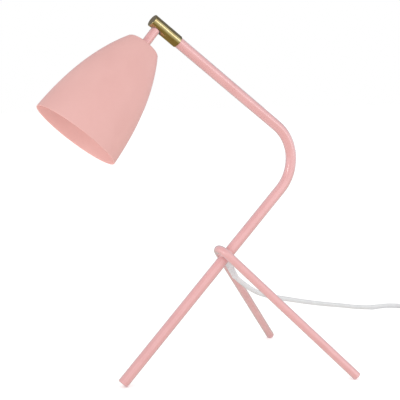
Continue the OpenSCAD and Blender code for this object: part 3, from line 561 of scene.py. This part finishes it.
def make_rocker():
    """Rocker with a dished top, a keel below and softened edges."""
    half = rocker_len / 2
    across = [1 - k / dish_steps for k in range(2 * dish_steps + 1)]
    dish = [(half * share, dish_at + dish_rise * share ** 2) for share in across]
    keel = [(-half, rocker_side_at), (-keel_half_top, keel_top), (-keel_half_foot, keel_foot),
            (keel_half_foot, keel_foot), (keel_half_top, keel_top), (half, rocker_side_at)]
    bm = bmesh.new()
    side = at_rocker @ Matrix.Translation((0, -rocker_w / 2, 0))
    outline = draw_line(bm, dish + keel, side, closed=True)
    face = bmesh.ops.contextual_create(bm, geom=outline)["faces"]
    made = bmesh.ops.extrude_face_region(bm, geom=face)["geom"]
    bmesh.ops.translate(bm, vec=at_rocker.to_3x3() @ Vector((0, rocker_w, 0)), verts=verts_of(made))
    bmesh.ops.recalc_face_normals(bm, faces=bm.faces)
    sharp = [edge for edge in bm.edges if edge.calc_face_angle(0) > radians(30)]
    bmesh.ops.bevel(bm, geom=sharp, affect="EDGES", offset=rocker_edge_r, segments=3, profile=0.5,
                    material=-1)
    return keep_piece(bm, "dished_rocker", "rocker", radians(30))


switch_cover = make_switch_cover()
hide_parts("switch_cover")
switch_rocker = make_rocker()
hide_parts("switch_rocker")


# ---------------------------------------------------------------- the plug
plug_t = 14 * mm
plug_w = 33 * mm
plug_end = 54 * mm
plug_edge_r = 1.8 * mm
plug_squareness = 7
plug_bore_r = 3.05 * mm
plug_relief_len = 20 * mm
plug_neck_r = 5.5 * mm
plug_grown_at = plug_relief_len + 21 * mm
plug_steps = 10
tip_r = 3.8 * mm
tip_edge = 0.3 * mm
tip_taper = 1.2 * mm
rib_count = 4
rib_ahead = 1 * mm
rib_edge_r = 5.0 * mm
rib_r = 5.2 * mm
rib_foot = 0.1 * mm
at_plug = Matrix.Translation(plug_at) @ Matrix.Rotation(-pi / 2, 4, "Y")


def plug_sizes():
    """The plug's rings from the cord's bore over the ribbed relief to the flat body's end."""
    sizes = [(along, r, r) for along, r in (
        (cord_grip + cord_play, plug_bore_r), (0, plug_bore_r), (0, tip_r - tip_edge),
        (tip_edge, tip_r))]
    for rib in range(1, rib_count + 1):
        rib_at = plug_relief_len * rib / (rib_count + 1) - rib_ahead
        root = tip_r + tip_taper * rib_at / plug_relief_len
        for along, r in ((-0.3, root), (0, rib_edge_r), (0.2, rib_r), (1.4, rib_r),
                         (1.6, rib_edge_r), (1.9, root + rib_foot)):
            sizes.append((rib_at + along * mm, r, r))
    for k in range(plug_steps + 1):
        t = k / plug_steps
        sizes.append((plug_relief_len + (plug_grown_at - plug_relief_len) * t,
                      plug_neck_r + (plug_t / 2 - plug_neck_r) * ease(t),
                      plug_neck_r + (plug_w / 2 - plug_neck_r) * ease(t),
                      2 + (plug_squareness - 2) * t ** 3))
    for inward, down in round_over(plug_edge_r, 6):
        sizes.append((plug_end - down, plug_t / 2 - inward, plug_w / 2 - inward, plug_squareness))
    return sizes


def make_plug_body():
    """Flat moulded plug with a ribbed strain relief and rounded edges."""
    bm = bmesh.new()
    join_rings(bm, at_plug, plug_sizes())
    return keep_piece(bm, "moulded_plug", "stand", radians(35))


moulded_plug = make_plug_body()
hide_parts("plug_body")


# ---------------------------------------------------------------- colours and shared effects
FLOAT, COLOUR, VECTOR = "NodeSocketFloat", "NodeSocketColor", "NodeSocketVector"


def tone(red, green, blue):
    """A colour as a screen shows it, 0 to 255, turned to the values that light is reckoned in."""
    def straight(c):
        c /= 255
        return c / 12.92 if c <= 0.04045 else ((c + 0.055) / 1.055) ** 2.4
    return (straight(red), straight(green), straight(blue), 1)


def set_sockets(node, constants):
    """Sets a node's plain sockets; an underscore stands for the space in a socket's name."""
    for socket, value in constants.items():
        node.inputs[socket.replace("_", " ")].default_value = value


def add_node(tree, kind, **constants):
    """A new shader node with its plain sockets set."""
    node = tree.nodes.new("ShaderNode" + kind)
    set_sockets(node, constants)
    return node


def add_math(tree, operation, *values):
    """A Math node fed by numbers and by other nodes' outputs, in that order of its sockets."""
    node = add_node(tree, "Math")
    node.operation = operation
    for socket, value in zip(node.inputs, values):
        if isinstance(value, (int, float)):
            socket.default_value = value
        else:
            tree.links.new(value, socket)
    return node.outputs["Value"]


def add_range(tree, value, low=None, high=None, **constants):
    """Spreads a value to a range; low and high are outputs that give the range's ends."""
    node = add_node(tree, "MapRange", **constants)
    tree.links.new(value, node.inputs["Value"])
    for output, socket in ((low, "To Min"), (high, "To Max")):
        if output:
            tree.links.new(output, node.inputs[socket])
    return node


def add_colour_mix(tree, share, one, other):
    """A colour between two others."""
    mix = add_node(tree, "Mix")
    mix.data_type = "RGBA"
    for value, socket in ((share, "Factor"), (one, "A"), (other, "B")):
        tree.links.new(value, mix.inputs[socket])
    return mix.outputs["Result"]


def new_effect(name, inputs, outputs):
    """An empty node group with its sockets; gives its tree, way in and way out."""
    tree = bpy.data.node_groups.new(name, "ShaderNodeTree")
    for socket, kind, value in inputs:
        made = tree.interface.new_socket(name=socket, in_out="INPUT", socket_type=kind)
        if value is not None:
            made.default_value = value
    for socket, kind in outputs:
        tree.interface.new_socket(name=socket, in_out="OUTPUT", socket_type=kind)
    return tree, tree.nodes.new("NodeGroupInput").outputs, tree.nodes.new("NodeGroupOutput").inputs


def clouded_colour():
    """Colour that drifts a little between two tones, as in any real coat or moulding."""
    tree, way_in, way_out = new_effect(
        "clouded_colour",
        [("Scale", FLOAT, 30), ("Light tone", COLOUR, None), ("Deep tone", COLOUR, None)],
        [("Colour", COLOUR), ("Mask", FLOAT)])
    place = add_node(tree, "TexCoord")
    noise = add_node(tree, "TexNoise", Detail=5, Roughness=0.6)
    tree.links.new(place.outputs["Object"], noise.inputs["Vector"])
    tree.links.new(way_in["Scale"], noise.inputs["Scale"])
    spread = add_range(tree, noise.outputs["Fac"], From_Min=0.32, From_Max=0.68)
    spread.interpolation_type = "SMOOTHSTEP"
    mask = spread.outputs["Result"]
    tree.links.new(add_colour_mix(tree, mask, way_in["Light tone"], way_in["Deep tone"]),
                   way_out["Colour"])
    tree.links.new(mask, way_out["Mask"])
    return tree


def orange_peel():
    """The soft pebbling of sprayed paint and moulded plastic, with a few settled specks."""
    tree, way_in, way_out = new_effect(
        "orange_peel",
        [("Scale", FLOAT, 700), ("Specks", FLOAT, 0.2), ("Low", FLOAT, 0.25), ("High", FLOAT, 0.35)],
        [("Height", FLOAT), ("Roughness", FLOAT)])
    place = add_node(tree, "TexCoord")
    fine = add_node(tree, "TexNoise", Detail=2)
    cells = add_node(tree, "TexVoronoi", Scale=420)
    broad = add_node(tree, "TexNoise", Scale=60, Detail=4)
    for texture in (fine, cells, broad):
        tree.links.new(place.outputs["Object"], texture.inputs["Vector"])
    tree.links.new(way_in["Scale"], fine.inputs["Scale"])
    speck = add_range(tree, cells.outputs["Distance"], From_Min=0.02, From_Max=0.09,
                      To_Min=1, To_Max=0)
    height = add_math(tree, "MULTIPLY_ADD", speck.outputs["Result"], way_in["Specks"],
                      fine.outputs["Fac"])
    tree.links.new(height, way_out["Height"])
    rough = add_range(tree, broad.outputs["Fac"], way_in["Low"], way_in["High"],
                      From_Min=0.3, From_Max=0.7)
    tree.links.new(rough.outputs["Result"], way_out["Roughness"])
    return tree


def turned_metal():
    """Fine rings of the lathe round a piece's own axis, with faint tarnish between them."""
    tree, way_in, way_out = new_effect(
        "turned_metal",
        [("Axis place", VECTOR, None), ("Rings", FLOAT, 3000), ("Low", FLOAT, 0.12),
         ("High", FLOAT, 0.26), ("Bright tone", COLOUR, None), ("Tarnished tone", COLOUR, None)],
        [("Colour", COLOUR), ("Roughness", FLOAT), ("Height", FLOAT)])
    parts = add_node(tree, "SeparateXYZ")
    tree.links.new(way_in["Axis place"], parts.inputs["Vector"])
    rings = add_node(tree, "TexNoise", Detail=3)
    rings.noise_dimensions = "1D"
    tree.links.new(parts.outputs["Z"], rings.inputs["W"])
    tree.links.new(way_in["Rings"], rings.inputs["Scale"])
    clouds = add_node(tree, "TexNoise", Scale=130, Detail=6)
    tree.links.new(way_in["Axis place"], clouds.inputs["Vector"])
    tarnish = add_range(tree, clouds.outputs["Fac"], From_Min=0.42, From_Max=0.7)
    tree.links.new(add_colour_mix(tree, tarnish.outputs["Result"], way_in["Bright tone"],
                                  way_in["Tarnished tone"]), way_out["Colour"])
    rough = add_range(tree, clouds.outputs["Fac"], way_in["Low"], way_in["High"],
                      From_Min=0.35, From_Max=0.75)
    tree.links.new(rough.outputs["Result"], way_out["Roughness"])
    tree.links.new(rings.outputs["Fac"], way_out["Height"])
    return tree


clouded = clouded_colour()
peel = orange_peel()
turned = turned_metal()


def new_finish(name, **constants):
    """A material with one Principled shader, whose plain sockets take the given constants."""
    finish = bpy.data.materials.new(name)
    finish.use_nodes = True
    shader = finish.node_tree.nodes["Principled BSDF"]
    set_sockets(shader, constants)
    return finish, shader


def place_effect(finish, effect, **values):
    """A shared effect in a material, with this material's own values."""
    node = add_node(finish.node_tree, "Group")
    node.node_tree = effect
    set_sockets(node, values)
    return node


def add_bump(finish, shader, height, depth):
    """Relief of that depth in metres, from a height of 0 to 1."""
    bump = add_node(finish.node_tree, "Bump", Strength=1, Distance=depth)
    finish.node_tree.links.new(height, bump.inputs["Height"])
    finish.node_tree.links.new(bump.outputs["Normal"], shader.inputs["Normal"])


def coated(name, light, deep, rough, pebble=700, depth=0.01 * mm, cloud=30, **constants):
    """Paint, plastic or glaze: drifting colour, pebbled surface and gloss between two values."""
    finish, shader = new_finish(name, **constants)
    links = finish.node_tree.links
    colour = place_effect(finish, clouded, Scale=cloud, Light_tone=light, Deep_tone=deep)
    links.new(colour.outputs["Colour"], shader.inputs["Base Color"])
    grain = place_effect(finish, peel, Scale=pebble, Low=rough[0], High=rough[1])
    links.new(grain.outputs["Roughness"], shader.inputs["Roughness"])
    add_bump(finish, shader, grain.outputs["Height"], depth)
    return finish


def lathed(name, bright, tarnished, rough, frame_of, depth=0.0003 * mm, **constants):
    """Turned metal: its rings run round the axis of the frame that is given."""
    finish, shader = new_finish(name, Metallic=1.0, **constants)
    tree = finish.node_tree
    inverse = frame_of.inverted()
    place = add_node(tree, "TexCoord")
    turn = add_node(tree, "Mapping", Location=inverse.to_translation(),
                    Rotation=inverse.to_euler("XYZ"))
    tree.links.new(place.outputs["Object"], turn.inputs["Vector"])
    metal = place_effect(finish, turned, Rings=3000, Low=rough[0], High=rough[1],
                         Bright_tone=bright, Tarnished_tone=tarnished)
    tree.links.new(turn.outputs["Vector"], metal.inputs["Axis place"])
    tree.links.new(metal.outputs["Colour"], shader.inputs["Base Color"])
    tree.links.new(metal.outputs["Roughness"], shader.inputs["Roughness"])
    add_bump(finish, shader, metal.outputs["Height"], depth)
    return finish


# The blue-grey sheen tint is a painted reflection: it gives the tube edges a lavender cast of the
# surroundings.
pink_gloss = coated("pink_gloss_paint", tone(241, 182, 181), tone(236, 175, 174), (0.26, 0.34),
                    pebble=420, depth=0.001 * mm, Specular_IOR_Level=0.15,
                    Coat_Weight=1.0, Coat_Roughness=0.17, Coat_IOR=1.8,
                    Sheen_Weight=1.0, Sheen_Roughness=0.5, Sheen_Tint=(0.42, 0.62, 0.68, 1))
# Its blue-grey sheen tint is likewise a painted reflection, a faint lavender line along the shade's
# outline.
pink_satin = coated("pink_satin_paint", tone(237, 184, 178), tone(233, 179, 173), (0.46, 0.56),
                    pebble=900, depth=0.003 * mm, cloud=18, Coat_Weight=0.08, Coat_Roughness=0.35,
                    Sheen_Weight=0.3, Sheen_Roughness=0.3, Sheen_Tint=(0.5, 0.58, 0.7, 1))
# Painted light: lighter and paler than the outer pink, so that the inside of the bell looks as lit as
# the outside.
pink_inside_painted_fill = coated("pink_inner_painted_fill", tone(238, 192, 186), tone(235, 187, 181), (0.5, 0.6),
                     pebble=900, depth=0.003 * mm, cloud=18)
cord_grey = coated("cord_grey_vinyl", tone(237, 238, 239), tone(230, 231, 233), (0.36, 0.46),
                   pebble=1400, depth=0.002 * mm, cloud=60, Coat_Weight=0.1, Coat_Roughness=0.3)
white_plastic = coated("white_moulding", tone(236, 236, 234), tone(230, 230, 227), (0.3, 0.4),
                       pebble=1500, depth=0.008 * mm, cloud=50)
black_plastic = coated("black_moulding", tone(38, 38, 40), tone(30, 30, 32), (0.4, 0.55),
                       pebble=1500, depth=0.008 * mm, cloud=50)
nylon = coated("natural_nylon", tone(236, 233, 222), tone(228, 224, 211), (0.4, 0.5),
               pebble=1100, depth=0.008 * mm, cloud=70)
ceramic = coated("glazed_ceramic", tone(243, 241, 234), tone(236, 233, 225), (0.1, 0.2),
                 pebble=260, depth=0.02 * mm, cloud=90, Coat_Weight=0.5, Coat_Roughness=0.05)
lead_brown = coated("lead_brown_vinyl", tone(112, 74, 50), tone(98, 62, 42), (0.4, 0.5),
                    pebble=1400, depth=0.005 * mm, cloud=60)
lead_blue = coated("lead_blue_vinyl", tone(52, 92, 160), tone(44, 80, 146), (0.4, 0.5),
                   pebble=1400, depth=0.005 * mm, cloud=60)
opal = coated("opal_bulb_glass", tone(246, 246, 242), tone(240, 240, 235), (0.22, 0.32),
              pebble=1800, depth=0.004 * mm, cloud=45, Coat_Weight=0.4, Coat_Roughness=0.08,
              Subsurface_Weight=0.2, Subsurface_Radius=(0.004, 0.004, 0.004))
brass = lathed("polished_brass", tone(200, 186, 140), tone(184, 164, 112), (0.12, 0.2),
               at_arm_end, Coat_Weight=0.3, Coat_Roughness=0.08)
small_brass = lathed("plain_brass", tone(208, 178, 108), tone(178, 146, 80), (0.2, 0.36), at_ball)
zinc = lathed("zinc_plated_steel", tone(200, 202, 206), tone(176, 178, 184), (0.24, 0.4), at_arm_end)
bulb_metal = lathed("bulb_cap_metal", tone(214, 214, 214), tone(190, 190, 192), (0.22, 0.36), at_ball)
nickel = lathed("nickel_plate", tone(208, 204, 196), tone(188, 184, 174), (0.14, 0.26), at_plug)


def woven_strap():
    """Hook-and-loop strap: a fine plain weave with a fuzzy dark face."""
    finish, shader = new_finish("woven_black_strap", Sheen_Weight=0.3, Roughness=0.85)
    tree = finish.node_tree
    colour = place_effect(finish, clouded, Scale=220, Light_tone=tone(52, 52, 56),
                          Deep_tone=tone(34, 34, 37))
    tree.links.new(colour.outputs["Colour"], shader.inputs["Base Color"])
    place = add_node(tree, "TexCoord")
    weave = add_node(tree, "TexChecker", Scale=2600)
    tree.links.new(place.outputs["Object"], weave.inputs["Vector"])
    add_bump(finish, shader, weave.outputs["Fac"], 0.05 * mm)
    return finish


strap = woven_strap()


def dress(finish, *names):
    """Gives CAD nodes and pieces their finish."""
    for name in names:
        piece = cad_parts.get(name) or bpy.data.objects[name]
        piece.data.materials.clear()
        piece.data.materials.append(finish)


def paint_inside(bell, finish):
    """The faces that look into the shade get a matt pink, lighter and paler than outside: painted
    light that lifts the shade inside the bell.
    """
    bell.data.materials.append(finish)
    to_ball = at_ball.inverted()
    for face in bell.data.polygons:
        place = to_ball @ face.center
        way = to_ball.to_3x3() @ face.normal
        outward = way.dot(Vector((place.x, place.y, 0)).normalized())
        face.material_index = int(way.z > 0.01 and outward < 0.5)


dress(pink_gloss, "main_tube", "rear_leg_tube", "weld_beads", "rippled_welds",
      "front_foot_plug", "left_foot_plug", "right_foot_plug", "shade_stem")
dress(pink_satin, "shade", "bell_shade")
# The inside faces get the lighter pink, painted light against the shade in the bell.
paint_inside(bell_shade, pink_inside_painted_fill)
dress(cord_grey, "cord_bush", "strain_relief", "supply_cord_free", "supply_cord_coiled")
dress(zinc, "arm_bush", "friction_washer", "swivel_nut", "stop_pin", "seat_spring",
      "tilt_ball", "shade_washer", "shade_nut", "switch_screws", "rocker_pin")
dress(brass, "brass_sleeve", "sleeve_cap")
dress(small_brass, "stem_nipple", "holder_shell", "centre_contact", "terminal_screws",
      "switch_contacts")
dress(nylon, "ball_seat_inner", "ball_seat_outer")
dress(white_plastic, "holder_cap", "holder_skirt", "switch_base", "switch_cover",
      "rounded_switch_cover", "switch_rocker", "dished_rocker", "plug_body", "moulded_plug")
dress(ceramic, "holder_insert")
dress(lead_brown, "tube_lead_brown", "stem_lead_brown")
dress(lead_blue, "tube_lead_blue", "stem_lead_blue")
dress(bulb_metal, "bulb_cap", "bulb_tip")
dress(opal, "bulb_glass", "bulb_globe")
dress(strap, "coil_tie", "coil_strap")
dress(nickel, "plug_pins")
dress(black_plastic, "plug_pin_sleeves")


# ---------------------------------------------------------------- floor, light and background
def add_card(name, wide, high, lie, finish):
    """A flat sheet that isn't part of the lamp."""
    bm = bmesh.new()
    bmesh.ops.create_grid(bm, x_segments=1, y_segments=1, size=0.5)
    bmesh.ops.scale(bm, vec=(wide, high, 1), verts=bm.verts)
    bmesh.ops.transform(bm, matrix=lie, verts=bm.verts)
    mesh = bpy.data.meshes.new(name)
    bm.to_mesh(mesh)
    bm.free()
    finish.cycles.emission_sampling = "NONE"
    mesh.materials.append(finish)
    card = bpy.data.objects.new(name, mesh)
    bpy.context.scene.collection.objects.link(card)
    return card


def add_floor():
    """A pale table; only the camera sees it glow a little, so that it comes out white."""
    table_tone, glow = 0.95, 0.3
    finish, shader = new_finish("white_table", Roughness=0.9, Specular_IOR_Level=0,
                                Base_Color=(table_tone, table_tone, table_tone, 1),
                                Emission_Color=(1, 1, 1, 1))
    seen = add_node(finish.node_tree, "LightPath")
    shown = add_math(finish.node_tree, "MULTIPLY", seen.outputs["Is Camera Ray"], glow)
    finish.node_tree.links.new(shown, shader.inputs["Emission Strength"])
    add_card("table_top", 12, 12, Matrix.Identity(4), finish)


def add_world():
    """White behind the lamp and in its metal; softer where it lights the lamp."""
    shown, lighting = 1.0, 0.92
    world = bpy.data.worlds.new("studio")
    bpy.context.scene.world = world
    world.use_nodes = True
    tree = world.node_tree
    back = tree.nodes["Background"]
    back.inputs["Color"].default_value = (1, 1, 1, 1)
    seen = add_node(tree, "LightPath").outputs
    shows = add_math(tree, "MAXIMUM", seen["Is Camera Ray"], seen["Is Glossy Ray"])
    through = add_math(tree, "MAXIMUM", shows, seen["Is Transmission Ray"])
    level = add_range(tree, through, To_Min=lighting, To_Max=shown)
    tree.links.new(level.outputs["Result"], back.inputs["Strength"])


def add_lamp(name, place, target, long, wide, along, watts, shines=True):
    """A soft lamp, longer in one direction, that never shows in the picture itself."""
    data = bpy.data.lights.new(name, "AREA")
    data.shape = "RECTANGLE"
    data.size = long
    data.size_y = wide
    data.energy = watts
    lamp = bpy.data.objects.new(name, data)
    back = (Vector(place) - Vector(target)).normalized()
    side = (Vector(along) - Vector(along).dot(back) * back).normalized()
    turn = Matrix((side, back.cross(side), back)).transposed().to_4x4()
    lamp.matrix_world = Matrix.Translation(place) @ turn
    lamp.visible_camera = False
    lamp.visible_glossy = shines
    bpy.context.scene.collection.objects.link(lamp)


def add_flag(name, place, target, wide, high, colour):
    """A card that only reflections see: it puts the dark bands on the brass and the tubes."""
    finish = new_finish(name, Roughness=1.0, Base_Color=(0, 0, 0, 1), Specular_IOR_Level=0,
                        Emission_Color=(*colour, 1), Emission_Strength=1)[0]
    turn = (Vector(target) - Vector(place)).to_track_quat("Z", "Y").to_matrix().to_4x4()
    card = add_card(name, wide, high, Matrix.Translation(place) @ turn, finish)
    card.visible_camera = False
    card.visible_diffuse = False
    card.visible_shadow = False
    card.visible_transmission = False


add_floor()
add_world()
add_lamp("leg_strip", place=(-0.1, -1.5, 0.25), target=(0, 0, 0.15),
         long=0.3, wide=0.08, along=leg_dir, watts=0.13)
add_lamp("arm_strip", place=(0.75, -1.3, 0.45), target=(0, 0, 0.3),
         long=0.9, wide=0.2, along=arm_dir, watts=1.5)
add_lamp("mouth_fill", place=(-0.1977, 0, 0.2072), target=ball_at,
         long=0.1, wide=0.1, along=(0, 1, 0), watts=0.06, shines=False)
add_lamp("side_window", place=(-1.35, -0.43, 0.6), target=(0.1, 0, 0.24),
         long=0.1, wide=0.4, along=(0, 1, 0), watts=1.7)
add_flag("flag_above", place=(0.9, 0.2, 1.0), target=(0.9, 0.2, 0.3),
         wide=4.4, high=1.8, colour=(0.24, 0.24, 0.26))
add_flag("flag_behind", place=(0.8, 1.6, 0.8), target=(0.8, 0, 0.8),
         wide=6.0, high=1.6, colour=(0.26, 0.25, 0.26))
add_flag("flag_front", place=(0, -0.95, 0.003), target=(0, -0.95, 1),
         wide=2.4, high=0.7, colour=(0.56, 0.52, 0.34))
add_flag("flag_camera", place=(-0.95, -1.9, 0.5), target=(0, 0, 0.2),
         wide=1.6, high=1.2, colour=(0.5, 0.5, 0.5))
add_flag("flag_below", place=(0, 0.15, 0.003), target=(0, 0.15, 1),
         wide=2.4, high=1.5, colour=(0.34, 0.26, 0.12))
